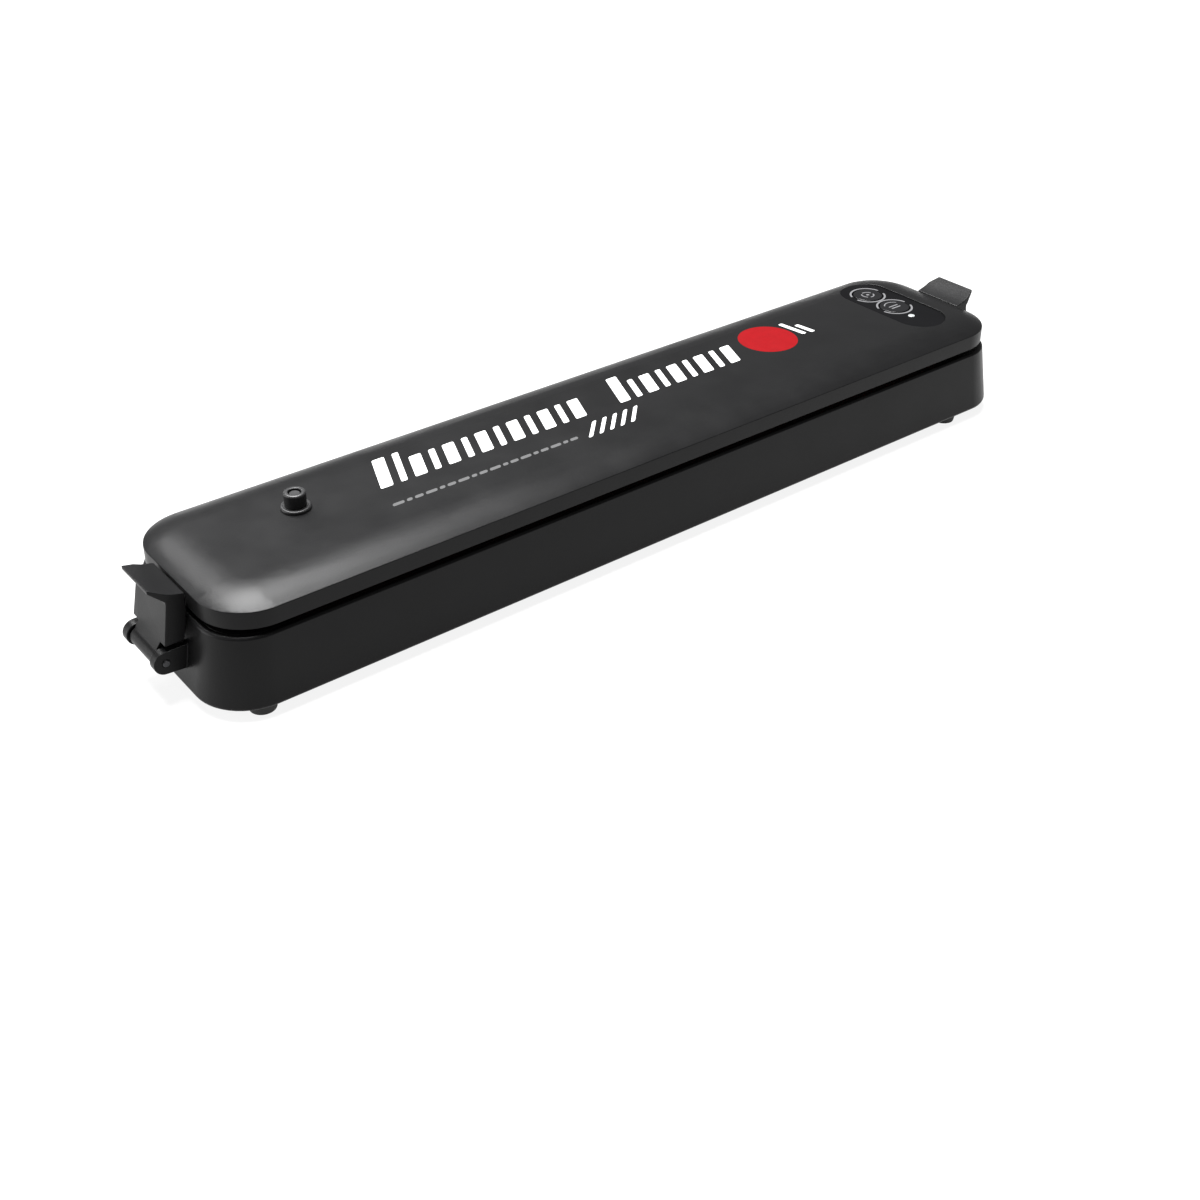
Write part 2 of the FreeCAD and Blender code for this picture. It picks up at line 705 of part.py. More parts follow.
def suction_tube():
    """Silicone tube from the pump's barb to the barb under the trough."""
    stops = [point(crankcase_x[1] + 0.6, barb_y, pump_port_z), point(108.0, barb_y, pump_port_z),
             point(suction_x, -1.0, 8.0), point(suction_x, suction_y, 8.0),
             point(suction_x, suction_y, trough_floor - trough_wall - 0.3)]
    return routed(stops, 2.2, 2.6).cut(routed(stops, 1.45, 2.6))


# ---- pins ---------------------------------------------------------------------------------
def latch_pin(side):
    x = end_x(side, latch_axis_out)
    reach = ear_y[1] + 0.4
    pin = rod(latch_pin_radius, point(x, -reach, latch_axis_z), point(x, reach, latch_axis_z))
    return pin.makeChamfer(0.25, [edge for edge in pin.Edges if edge.BoundBox.YLength < 0.01])


def hinge_pins():
    return group([rod(hinge_pin_radius, point(side * hinge_x - base_knuckle_outer, hinge_y, hinge_z),
                      point(side * hinge_x + base_knuckle_outer, hinge_y, hinge_z)) for side in (-1, 1)])


# ---- lid ----------------------------------------------------------------------------------
lid_screw_places = [(-168.0, -22.0), (-168.0, 22.0), (168.0, -22.0), (168.0, 22.0),
                    (-70.0, 30.2), (0.0, 30.2), (70.0, 30.2), (-80.0, -17.0), (80.0, -17.0)]


def crown_rise(inset):
    """Height of the crown above the lid's edge, at a distance in from the edge."""
    along = min(inset / crown_run, 1.0)
    return crown_height * (1 - (1 - along) ** 2.2)


def crown(inset_start, drop, bottom):
    """Domed top whose edge is inset_start in from the lid's wall, drop below the outer surface."""
    steps = (0.0, 0.8, 2.2, 4.5, 8.0, 12.0, crown_run)
    half_x, half_y = lid_half_length - inset_start, body_width / 2 - inset_start
    radius = lid_corner_radius - inset_start
    sections = []
    for step in steps:
        inset = min(step, radius - 0.8)
        sections.append(outline(half_x - inset, half_y - inset, radius - inset,
                                lid_edge + crown_rise(step) - drop))
    dome = Part.makeLoft(sections, True, False)
    skirt = plate(half_x, half_y, radius, (bottom, lid_edge + crown_rise(0.0) - drop))
    return dome, skirt


def lid_shell():
    dome, skirt = crown(0.0, 0.0, lid_bottom)
    outer = fuse_all([dome, skirt])
    inner_dome, inner_skirt = crown(wall, lid_skin, lid_bottom - 1)
    shell = outer.cut(inner_dome).cut(inner_skirt)
    frame = plate(panel_half_width + 1.8, panel_half_length + 1.8, panel_half_width + 1.7,
                  (panel_under - 1.5, lid_inside_top + 0.5), (panel_x, panel_y))
    pieces = [shell, frame.common(outer)]
    for x, y in lid_screw_places:
        boss = rod(2.6, point(x, y, inner_plate_top), point(x, y, lid_inside_top + 0.5))
        pieces.append(boss.common(outer))
    for side in (-1, 1):
        arm = [(34.4, hinge_z + 1.4), (hinge_y - knuckle_radius, hinge_z),
               (hinge_y + knuckle_radius, hinge_z), (hinge_y + knuckle_radius, hinge_z + 1.6),
               (35.6, lid_edge - 0.6), (34.4, lid_edge - 0.6)]
        pieces += knuckle(side, [(-lid_knuckle_half, lid_knuckle_half)], arm,
                          hinge_pin_radius + running_clearance)
        # catch ridge that the latch's inner rib sits over
        root, shoulder, tip = (end_x(side, out - lid_end_inset) for out in (-0.5, 0.1, 0.3))
        pieces.append(prism([(root, 31.4), (shoulder, 31.4), (tip, 31.9), (tip, 32.6), (root, 33.2)],
                            "y", (-6.0, 6.0)))
    shell = fuse_all(pieces)
    cuts = [plate(panel_half_width + 0.05, panel_half_length + 0.05, panel_half_width,
                  (panel_under, lid_top + 1), (panel_x, panel_y)),
            plate(panel_half_width - 1.4, panel_half_length - 1.4, panel_half_width - 1.5,
                  (lid_bottom, lid_top + 1), (panel_x, panel_y)),
            rod(port_root_radius + 0.1, point(port_x, port_y, lid_bottom),
                point(port_x, port_y, lid_top + 1))]
    for x, y in lid_screw_places:
        cuts.append(rod(1.02, point(x, y, lid_bottom), point(x, y, inner_plate_top + 4.5)))
    for side in (-1, 1):
        for low, high in ((lid_knuckle_half, base_knuckle_outer + hinge_gap),
                          (-base_knuckle_outer - hinge_gap, -lid_knuckle_half)):
            cuts.append(rod(knuckle_sweep, point(side * hinge_x + low, hinge_y, hinge_z),
                            point(side * hinge_x + high, hinge_y, hinge_z)))
    for cut in cuts:
        shell = shell.cut(cut)
    return shell


def lid_inner_plate():
    """Plate that closes the lid from below and carries the seals."""
    inset = wall + 0.15
    base = plate(lid_half_length - inset, body_width / 2 - inset, lid_corner_radius - inset,
                 (lid_bottom, inner_plate_top))
    hood = plate(trough_half_length - 1.0, trough_half_width + 1.0, 7.0,
                 (lid_bottom, chamber_roof_top), trough_middle)
    pieces = [base, hood]
    for x in (145.5, 160.5):
        for y in (-18.0, 22.0):
            pieces.append(rod(1.5, point(x, y, inner_plate_top - 0.5),
                              point(x, y, board_top - board_thickness)))
    shell = fuse_all(pieces)
    shell = shell.cut(plate(trough_half_length - 2.6, trough_half_width - 0.6, 5.4,
                            (lid_bottom - 1, chamber_roof), trough_middle))
    shell = shell.cut(gasket_ring(gasket_width, (lid_bottom - 1, lid_bottom + 0.8)))
    shell = shell.cut(plate(heater_half_length + 2, heater_width / 2 - 0.9, 1.0,
                            (lid_bottom - 1, lid_bottom + 0.8), (0.0, heater_y)))
    shell = shell.cut(rod(1.8, point(port_x, port_y, lid_bottom),
                          point(port_x, port_y, chamber_roof_top + 1)))
    shell = shell.cut(rod(lead_hole_radius, point(*lead_hole, lid_bottom - 1), point(*lead_hole, 34)))
    for x, y in lid_screw_places:
        shell = shell.cut(rod(1.15, point(x, y, lid_bottom - 1), point(x, y, chamber_roof_top + 1)))
        shell = shell.cut(rod(2.0, point(x, y, lid_bottom - 1), point(x, y, lid_bottom + 1.0)))
    for side in (-1, 1):
        shell = shell.cut(rod(knuckle_sweep, point(side * hinge_x - 15, hinge_y, hinge_z),
                              point(side * hinge_x + 15, hinge_y, hinge_z)))
    return shell


def lid_screws():
    return group([tapping_screw(x, y, lid_bottom + 0.03, 1.6, 0.98, 6.0) for x, y in lid_screw_places])


def upper_gasket():
    return gasket_ring(gasket_width - 0.1, (lid_bottom - gasket_stand, lid_bottom + 0.8))


def pressure_strip():
    """Silicone bar in the lid that presses the bag onto the heated strip."""
    return plate(heater_half_length + 1.9, heater_width / 2 - 1.0, 0.9,
                 (lid_bottom - 1.3, lid_bottom + 0.8), (0.0, heater_y))


def control_panel():
    panel = plate(panel_half_width, panel_half_length, panel_half_width - 0.05, (panel_under, panel_top),
                  (panel_x, panel_y))
    for y in button_places.values():
        panel = panel.cut(rod(button_hole_radius, point(panel_x, y, 30), point(panel_x, y, 50)))
    return panel.cut(rod(lens_radius + seat_clearance, point(panel_x - 1.5, lens_y, 30),
                         point(panel_x - 1.5, lens_y, 50)))


def indicator_lens():
    x = panel_x - 1.5
    lens = rod(lens_radius, point(x, lens_y, panel_under), point(x, lens_y, panel_top + 0.25))
    lens = lens.makeFillet(0.2, [edge for edge in lens.Edges if edge.BoundBox.ZMin > panel_top])
    return lens.fuse(rod(lens_radius + 0.8, point(x, lens_y, panel_under - 0.7),
                         point(x, lens_y, panel_under)))


def indicator_led():
    x = panel_x - 1.5
    body = box((x - 1.4, x + 1.4), (lens_y - 1.0, lens_y + 1.0), (board_top, board_top + 1.2))
    dome = rod(0.9, point(x, lens_y, board_top + 1.0), point(x, lens_y, board_top + 2.2))
    return body.fuse(dome)


def control_board():
    return plate(9.4, 22.0, 1.5, (board_top - board_thickness, board_top), (panel_x, panel_y))


def tact_switches():
    """One low switch under each button; the round plunger is on top."""
    switches = []
    for y in button_places.values():
        case = box((panel_x - 3.1, panel_x + 3.1), (y - 3.1, y + 3.1), (board_top, board_top + 0.5))
        plunger = rod(1.6, point(panel_x, y, board_top + 0.4), point(panel_x, y, board_top + 0.8))
        switches.append(case.fuse(plunger))
    return group(switches)


def button(y):
    """Round cap with a hidden flange and a short stem."""
    cap_top = panel_top + 0.2
    cap = rod(button_radius, point(panel_x, y, panel_under - 0.4), point(panel_x, y, cap_top))
    cap = cap.makeFillet(0.4, [edge for edge in cap.Edges if edge.BoundBox.ZMin > cap_top - 0.1])
    flange = rod(button_flange_radius, point(panel_x, y, panel_under - 1.2),
                 point(panel_x, y, panel_under - 0.4))
    stem = rod(1.5, point(panel_x, y, panel_under - 1.8), point(panel_x, y, panel_under - 1.0))
    return fuse_all([cap, flange, stem])


def lid_panel_lead():
    """Upper half of the control lead, from the lid's rear hole to the control board."""
    x, y = lead_hole
    z = board_top - board_thickness / 2
    return routed([point(x, y, lid_bottom + 0.2), point(x, y, z), point(x + 8.0, y - 6.0, z),
                   point(panel_x - 10.4, 14.0, z)], 0.9, 1.2)


# ---- hose port ----------------------------------------------------------------------------
def port_rod(radius, z0, z1):
    return rod(radius, point(port_x, port_y, z0), point(port_x, port_y, z1))


def port_fitting():
    """Hollow spigot clamped through the lid, with a valve chamber at its foot."""
    foot_disc = port_rod(6.4, chamber_roof_top, chamber_roof_top + 1.0)
    body = port_rod(5.4, chamber_roof_top, lid_inside_top)
    root = port_rod(port_root_radius, lid_inside_top - 0.5, port_collar_top)
    relief = port_rod(port_relief_radius, port_collar_top, port_collar_top + port_relief_height)
    spigot = port_rod(port_stem_radius, port_collar_top + port_relief_height, port_stem_top)
    spigot = spigot.makeFillet(0.6, [edge for edge in spigot.Edges
                                     if edge.BoundBox.ZMin > port_stem_top - 0.1])
    fitting = fuse_all([foot_disc, body, root, relief, spigot])
    fitting = fitting.cut(port_rod(port_chamber_radius, chamber_roof_top - 1, valve_seat_z))
    return fitting.cut(port_rod(port_bore_radius, valve_seat_z - 0.5, port_stem_top + 1))


def port_collar():
    """Ring nut on the lid's outside."""
    collar = port_rod(port_collar_radius, lid_top, port_collar_top)
    collar = collar.makeFillet(0.7, [edge for edge in collar.Edges
                                     if edge.BoundBox.ZMin > port_collar_top - 0.1])
    return collar.cut(port_rod(port_root_radius + seat_clearance, lid_top - 1, port_collar_top + 1))


def port_valve():
    """Poppet whose head shows inside the spigot's mouth."""
    head = port_rod(1.85, port_stem_top - 1.4, port_stem_top - 0.6)
    head = head.makeFillet(0.3, [edge for edge in head.Edges if edge.BoundBox.ZMin > port_stem_top - 0.7])
    return fuse_all([port_rod(3.4, 36.3, 37.1), port_rod(0.9, 36.5, port_stem_top - 1.0), head])


def port_seal():
    return port_rod(3.2, 37.1, 37.55).cut(port_rod(0.92, 37.0, 38.0))


def port_spring():
    """Coil spring under the poppet."""
    wire_radius = 0.25
    coil_radius = 2.7
    turns = 2.5
    stops_per_turn = 8
    low = chamber_roof_top + wire_radius + 0.05
    high = 36.3 - 0.05 - wire_radius
    count = int(turns * stops_per_turn)
    stops = []
    for i in range(count + 1):
        angle = 2 * math.pi * i / stops_per_turn
        stops.append(point(port_x + coil_radius * math.cos(angle), port_y + coil_radius * math.sin(angle),
                           low + (high - low) * i / count))
    return routed(stops, wire_radius, 2.2)


# ---- latches ------------------------------------------------------------------------------
def latch(side):
    """Lever: hinge barrel, leaning plate with two side cheeks, inner rib and flared finger tab."""
    def at(out, z):
        return (end_x(side, out), z)

    axis_x = end_x(side, latch_axis_out)
    half, foot_half, lip_half = latch_half_width, latch_foot_half_width, latch_lip_half_width
    plate_foot, plate_head, tab_lip = 20.1, 36.3, 11.2
    barrel = rod(barrel_radius, point(axis_x, -barrel_half_length, latch_axis_z),
                 point(axis_x, barrel_half_length, latch_axis_z))
    neck = prism([at(11.0, 17.0), at(9.0, plate_foot + 0.5), at(6.7, plate_foot + 0.5), at(8.0, 17.0)],
                 "y", (-barrel_half_length, barrel_half_length))
    # the plate is a little wider at its foot than at the lid's edge
    side_view = prism([at(9.1, plate_foot), at(6.5, 34.0), at(6.55, plate_head), at(0.0, plate_head),
                       at(0.1, 30.0), at(0.6, 28.4), at(0.9, 26.0), at(2.4, plate_foot)],
                      "y", (-foot_half, foot_half))
    front_view = prism([(-foot_half, plate_foot), (foot_half, plate_foot), (half, 34.0), (half, plate_head),
                        (-half, plate_head), (-half, 34.0)], "x", sorted((end_x(side, -1), end_x(side, 12))))
    hollow_half = half - cheek_thickness
    hollow = prism([at(7.2, plate_foot - 0.5), at(4.7, 33.0), at(4.3, 33.5), at(-1.0, 33.5),
                    at(-1.0, plate_foot - 0.5)], "y", (-hollow_half, hollow_half))
    # the finger tab is as wide as the plate, and narrows beyond it to its raised lip
    tab_side = prism([at(0.0, 35.0), at(0.0, 36.5), at(4.2, 37.6), at(tab_lip, 40.7), at(tab_lip, 39.3),
                      at(6.5, 35.4)], "y", (-half, half))
    corners = [(0.0, half), (6.8, half), (8.8, half - 0.8), (tab_lip, lip_half)]
    edge_points = [point(end_x(side, out), y, 30.0) for out, y in corners]
    edge_points += [point(end_x(side, out), -y, 30.0) for out, y in reversed(corners)]
    tab_plan = Part.Face(Part.makePolygon(edge_points + [edge_points[0]])).extrude(point(0, 0, 15.0))
    lever = fuse_all([barrel, neck, side_view.common(front_view).cut(hollow), tab_side.common(tab_plan)])
    return lever.cut(rod(latch_pin_radius + running_clearance, point(axis_x, -20, latch_axis_z),
                         point(axis_x, 20, latch_axis_z)))


# ---- build --------------------------------------------------------------------------------
save("base_shell", base_shell())
save("deck_plate", deck_plate())
save("vacuum_trough", vacuum_trough())
save("bottom_cover", bottom_cover())
save("cover_screws", cover_screws())
for end in ("front", "rear"):
    for hand in ("left", "right"):
        save(f"foot_{end}_{hand}", foot(foot_x[hand], foot_y[end]))
save("lower_gasket", lower_gasket())
save("heater_bed", heater_bed())
save("heating_wire", heating_wire())
save("release_tape", release_tape())
save("heater_clamps", heater_clamps())
save("power_inlet", power_inlet())
save("inlet_pins", inlet_pins())
save("main_board", main_board())
save("transformer_core", transformer_core())
save("transformer_winding", transformer_winding())
save("filter_capacitor", filter_capacitor())
save("relay", relay())
save("terminal_block", terminal_block())
save("mains_fuse", mains_fuse())
save("inlet_leads", inlet_leads())
save("heater_leads", heater_leads())
save("pump_leads", pump_leads())
save("base_panel_lead", base_panel_lead())
save("pump_motor", pump_motor())
save("pump_cradle", pump_cradle())
save("motor_shaft", motor_shaft())
save("pump_crank", pump_crank())
save("pump_crankcase", pump_crankcase())
save("pump_rod", pump_rod())
save("pump_diaphragm", pump_diaphragm())
save("pump_cap", pump_cap())
save("pump_screws", pump_screws())
save("suction_tube", suction_tube())
save("hinge_pins", hinge_pins())
save("lid_shell", lid_shell())
save("lid_inner_plate", lid_inner_plate())
save("lid_screws", lid_screws())
save("upper_gasket", upper_gasket())
save("pressure_strip", pressure_strip())
save("control_panel", control_panel())
save("indicator_lens", indicator_lens())
save("indicator_led", indicator_led())
save("control_board", control_board())
save("tact_switches", tact_switches())
for name, y in button_places.items():
    save(name, button(y))
save("lid_panel_lead", lid_panel_lead())
save("port_fitting", port_fitting())
save("port_collar", port_collar())
save("port_valve", port_valve())
save("port_seal", port_seal())
save("port_spring", port_spring())
for hand, side in (("left", -1), ("right", 1)):
    save(f"{hand}_latch", latch(side))
    save(f"{hand}_latch_pin", latch_pin(side))
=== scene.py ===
import json
import math
import random

import bmesh
import bpy
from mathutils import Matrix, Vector


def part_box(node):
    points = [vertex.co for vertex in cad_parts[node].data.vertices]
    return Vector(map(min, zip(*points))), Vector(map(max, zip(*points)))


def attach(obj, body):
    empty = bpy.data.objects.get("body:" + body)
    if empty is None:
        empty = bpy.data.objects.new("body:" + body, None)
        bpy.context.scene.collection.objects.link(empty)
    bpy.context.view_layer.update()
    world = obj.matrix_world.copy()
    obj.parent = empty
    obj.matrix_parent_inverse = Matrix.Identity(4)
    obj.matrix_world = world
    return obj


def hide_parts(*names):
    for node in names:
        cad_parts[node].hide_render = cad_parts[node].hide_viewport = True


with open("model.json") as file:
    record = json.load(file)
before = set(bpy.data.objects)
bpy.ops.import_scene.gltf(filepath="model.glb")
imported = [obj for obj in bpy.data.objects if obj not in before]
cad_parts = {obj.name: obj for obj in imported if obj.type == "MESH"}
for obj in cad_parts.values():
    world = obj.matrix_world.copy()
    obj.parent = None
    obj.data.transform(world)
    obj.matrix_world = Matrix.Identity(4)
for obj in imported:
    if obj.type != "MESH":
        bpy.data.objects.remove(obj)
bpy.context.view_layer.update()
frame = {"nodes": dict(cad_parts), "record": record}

MM = 0.001

# ---- camera -------------------------------------------------------------------------------
CAMERA_PLACE = Vector((-0.3373, -0.4173, 0.3164))
CAMERA_YAW = math.radians(37.98)
CAMERA_PITCH = math.radians(29.71)
CAMERA_LENS = 48.32
CAMERA_SENSOR = 36.0
CAMERA_SHIFT = (0.0083, -0.10)
CAMERA_CLIP = (0.01, 50.0)


def make_camera():
    """Looks down along the object from its front left corner."""
    data = bpy.data.cameras.new("camera")
    data.lens = CAMERA_LENS
    data.sensor_width = CAMERA_SENSOR
    data.shift_x, data.shift_y = CAMERA_SHIFT
    data.clip_start, data.clip_end = CAMERA_CLIP
    camera = bpy.data.objects.new("camera", data)
    bpy.context.scene.collection.objects.link(camera)
    camera.location = CAMERA_PLACE
    level = math.cos(CAMERA_PITCH)
    ahead = Vector((math.sin(CAMERA_YAW) * level, math.cos(CAMERA_YAW) * level,
                    -math.sin(CAMERA_PITCH)))
    camera.rotation_mode = "QUATERNION"
    camera.rotation_quaternion = ahead.to_track_quat("-Z", "Y")
    bpy.context.scene.camera = camera


# ---- node materials -----------------------------------------------------------------------
class Material:
    """A node material with one Principled shader, and small helpers to build on it."""

    def __init__(self, name, colour, roughness, metallic=0.0):
        self.data = bpy.data.materials.new(name)
        self.data.use_nodes = True
        self.nodes = self.data.node_tree.nodes
        self.links = self.data.node_tree.links
        self.shader = self.nodes["Principled BSDF"]
        self.set("Base Color", (*colour, 1.0))
        self.set("Roughness", roughness)
        self.set("Metallic", metallic)
        self.coords = self.nodes.new("ShaderNodeTexCoord").outputs["Object"]

    def set(self, socket, value):
        self.shader.inputs[socket].default_value = value

    def link(self, source, target):
        self.links.new(source, target)

    def noise(self, scale, detail=3.0, stretch=(1, 1, 1)):
        """Noise over the object's coordinates, stretched along each axis."""
        mapping = self.nodes.new("ShaderNodeMapping")
        mapping.inputs["Scale"].default_value = stretch
        self.link(self.coords, mapping.inputs["Vector"])
        node = self.nodes.new("ShaderNodeTexNoise")
        node.inputs["Scale"].default_value = scale
        node.inputs["Detail"].default_value = detail
        self.link(mapping.outputs["Vector"], node.inputs["Vector"])
        return node.outputs["Fac"]

    def waves(self, axis, scale):
        """Even bands across one axis."""
        node = self.nodes.new("ShaderNodeTexWave")
        node.bands_direction = axis
        node.inputs["Scale"].default_value = scale
        self.link(self.coords, node.inputs["Vector"])
        return node.outputs["Fac"]

    def ramp(self, source, low, high, start=0.3, end=0.7):
        """Colour ramp between two colours or two grey values."""
        node = self.nodes.new("ShaderNodeValToRGB")
        first, last = node.color_ramp.elements
        first.position, last.position = start, end
        for element, value in ((first, low), (last, high)):
            colour = value if isinstance(value, tuple) else (value, value, value)
            element.color = (*colour, 1.0)
        self.link(source, node.inputs["Fac"])
        return node.outputs["Color"]

    def bump(self, source, height, strength=0.5):
        """Adds surface relief, height in metres."""
        node = self.nodes.new("ShaderNodeBump")
        node.inputs["Strength"].default_value = strength
        node.inputs["Distance"].default_value = height
        self.link(source, node.inputs["Height"])
        self.link(node.outputs["Normal"], self.shader.inputs["Normal"])

    def vary_colour(self, source, low, high, start=0.3, end=0.7):
        self.link(self.ramp(source, low, high, start, end), self.shader.inputs["Base Color"])

    def vary_roughness(self, source, low, high):
        self.link(self.ramp(source, low, high), self.shader.inputs["Roughness"])


def scaled(colour, factor):
    return tuple(min(channel * factor, 1.0) for channel in colour)


def moulded_plastic(name, colour, roughness, grain=0.04 * MM, grain_scale=1600.0, specular=0.5):
    """Moulded plastic with a fine eroded texture and slight unevenness."""
    made = Material(name, colour, roughness)
    made.set("IOR", 1.5)
    made.set("Specular IOR Level", specular)
    made.vary_colour(made.noise(scale=26.0, detail=2.0), scaled(colour, 0.9), scaled(colour, 1.12))
    made.vary_roughness(made.noise(scale=60.0, detail=4.0), roughness - 0.03, roughness + 0.04)
    made.bump(made.noise(grain_scale, detail=2.0), grain, strength=0.6)
    return made.data


def gloss_plastic(name, colour, roughness, coat=0.6, specular=0.5):
    """Polished plastic, clear-coated unless coat is 0."""
    made = Material(name, colour, roughness)
    made.set("IOR", 1.52)
    made.set("Specular IOR Level", specular)
    made.set("Coat Weight", coat)
    made.set("Coat Roughness", 0.06)
    made.vary_colour(made.noise(scale=40.0), scaled(colour, 0.9), scaled(colour, 1.15))
    made.vary_roughness(made.noise(scale=90.0, detail=5.0), roughness * 0.8, roughness * 1.3)
    made.bump(made.noise(scale=220.0, detail=2.0), 0.01 * MM, strength=0.3)
    return made.data


def rubber(name, colour, roughness=0.75):
    """Matt rubber or silicone with a powdery grain."""
    made = Material(name, colour, roughness)
    made.set("IOR", 1.45)
    made.vary_colour(made.noise(scale=80.0), scaled(colour, 0.85), scaled(colour, 1.25))
    made.vary_roughness(made.noise(scale=150.0, detail=4.0), roughness - 0.06, roughness + 0.06)
    made.bump(made.noise(scale=2400.0), 0.05 * MM, strength=0.6)
    return made.data


def metal(name, colour, roughness, stretch=(1, 1, 1)):
    """Metal with fine drawn or turned lines along the unstretched axis."""
    made = Material(name, colour, roughness, metallic=1.0)
    lines = made.noise(scale=700.0, stretch=stretch)
    made.vary_colour(made.noise(scale=50.0), scaled(colour, 0.88), scaled(colour, 1.1))
    made.vary_roughness(lines, roughness * 0.75, roughness * 1.35)
    made.bump(lines, 0.01 * MM, strength=0.35)
    return made.data


def foam(name, colour):
    """Closed-cell foam: small open pits."""
    made = Material(name, colour, roughness=0.9)
    cells = made.nodes.new("ShaderNodeTexVoronoi")
    cells.inputs["Scale"].default_value = 1500.0
    made.link(made.coords, cells.inputs["Vector"])
    pits = cells.outputs["Distance"]
    made.vary_colour(pits, scaled(colour, 1.5), scaled(colour, 0.5), start=0.1, end=0.7)
    made.bump(pits, 0.15 * MM, strength=0.7)
    return made.data


def woven_tape(name, colour):
    """Coated glass cloth: a fine square weave under a satin film."""
    made = Material(name, colour, roughness=0.5)
    made.set("IOR", 1.4)
    made.set("Specular IOR Level", 0.2)
    weave = made.nodes.new("ShaderNodeMath")
    weave.operation = "MAXIMUM"
    for threads, axis in zip(weave.inputs, ("X", "Y")):
        made.link(made.waves(axis, scale=320.0), threads)
    made.vary_colour(weave.outputs["Value"], scaled(colour, 0.65), scaled(colour, 1.3))
    made.bump(weave.outputs["Value"], 0.06 * MM, strength=0.7)
    return made.data


def circuit_board(name, colour):
    """Solder mask over a grid of traces."""
    made = Material(name, colour, roughness=0.35)
    made.set("IOR", 1.5)
    traces = made.nodes.new("ShaderNodeTexBrick")
    traces.inputs["Scale"].default_value = 180.0
    traces.inputs["Mortar Size"].default_value = 0.03
    made.link(made.coords, traces.inputs["Vector"])
    made.vary_colour(traces.outputs["Fac"], colour, scaled(colour, 1.9), start=0.2, end=0.6)
    made.bump(traces.outputs["Fac"], 0.03 * MM)
    return made.data


def laminated(name, colour):
    """Stacked steel sheets seen from the side."""
    made = Material(name, colour, roughness=0.45, metallic=0.8)
    sheets = made.waves("Y", scale=330.0)
    made.vary_colour(sheets, scaled(colour, 0.6), scaled(colour, 1.3))
    made.bump(sheets, 0.08 * MM, strength=0.6)
    return made.data


def clear_glass(name, colour):
    made = Material(name, colour, roughness=0.03)
    made.set("Transmission Weight", 1.0)
    made.set("IOR", 1.5)
    made.vary_roughness(made.noise(scale=120.0), 0.02, 0.06)
    return made.data


def printed_ink(name, colour):
    """Screen-printed ink: slightly uneven cover with a faint mesh pattern."""
    roughness = 0.6
    made = Material(name, colour, roughness)
    made.set("Specular IOR Level", 0.06)
    cover = made.noise(scale=420.0, detail=4.0)
    made.vary_colour(cover, scaled(colour, 0.93), scaled(colour, 1.03))
    made.vary_roughness(made.noise(scale=200.0), roughness - 0.05, roughness + 0.08)
    made.bump(made.noise(scale=3000.0, detail=1.0), 0.01 * MM, strength=0.4)
    return made.data


MATERIALS = {
    "housing_plastic": moulded_plastic("housing_plastic", (0.004, 0.004, 0.0042), 0.36,
                                       specular=0.13),
    "inner_plastic": moulded_plastic("inner_plastic", (0.009, 0.009, 0.0095), 0.42,
                                     specular=0.32),
    "screw_steel": metal("screw_steel", (0.45, 0.45, 0.46), 0.32),
    "pin_steel": metal("pin_steel", (0.5, 0.5, 0.51), 0.22, stretch=(1, 6, 6)),
    "dark_pin_steel": metal("dark_pin_steel", (0.055, 0.055, 0.058), 0.4, stretch=(6, 1, 6)),
    "foot_rubber": rubber("foot_rubber", (0.012, 0.012, 0.012)),
    "gasket_foam": foam("gasket_foam", (0.03, 0.03, 0.032)),
    "strip_silicone": rubber("strip_silicone", (0.2, 0.016, 0.012), 0.5),
    "bed_board": moulded_plastic("bed_board", (0.24, 0.22, 0.19), 0.6,
                                 grain=0.08 * MM, grain_scale=500.0),
    "resistance_metal": metal("resistance_metal", (0.5, 0.47, 0.44), 0.35, stretch=(1, 12, 12)),
    "release_fabric": woven_tape("release_fabric", (0.1, 0.055, 0.026)),
    "brass": metal("brass", (0.72, 0.5, 0.2), 0.25),
    "board": circuit_board("board", (0.012, 0.09, 0.035)),
    "core_steel": laminated("core_steel", (0.16, 0.16, 0.17)),
    "copper_winding": metal("copper_winding", (0.62, 0.24, 0.09), 0.3, stretch=(1, 1, 9)),
    "capacitor_sleeve": gloss_plastic("capacitor_sleeve", (0.012, 0.02, 0.07), 0.2),
    "relay_case": gloss_plastic("relay_case", (0.02, 0.06, 0.2), 0.25),
    "terminal_plastic": moulded_plastic("terminal_plastic", (0.03, 0.22, 0.08), 0.45),
    "fuse_glass": clear_glass("fuse_glass", (0.95, 0.98, 0.98)),
    "lead_sleeve": gloss_plastic("lead_sleeve", (0.02, 0.02, 0.021), 0.4),
    "hot_lead_sleeve": gloss_plastic("hot_lead_sleeve", (0.6, 0.57, 0.52), 0.45),
    "motor_can": metal("motor_can", (0.55, 0.55, 0.55), 0.3, stretch=(8, 1, 1)),
    "crank_plastic": moulded_plastic("crank_plastic", (0.62, 0.62, 0.58), 0.45),
    "tube_silicone": rubber("tube_silicone", (0.62, 0.63, 0.61), 0.35),
    "panel_gloss": gloss_plastic("panel_gloss", (0.003, 0.003, 0.0033), 0.4,
                                 coat=0.0, specular=0.02),
    "button_gloss": gloss_plastic("button_gloss", (0.0045, 0.0045, 0.005), 0.26,
                                  coat=0.0, specular=0.15),
    "lens_clear": gloss_plastic("lens_clear", (0.2, 0.21, 0.21), 0.25),
    "switch_body": moulded_plastic("switch_body", (0.05, 0.05, 0.05), 0.5),
    "valve_plastic": gloss_plastic("valve_plastic", (0.012, 0.012, 0.0125), 0.4,
                                   coat=0.0, specular=0.2),
}
WHITE_INK = printed_ink("white_ink", (0.4, 0.4, 0.4))
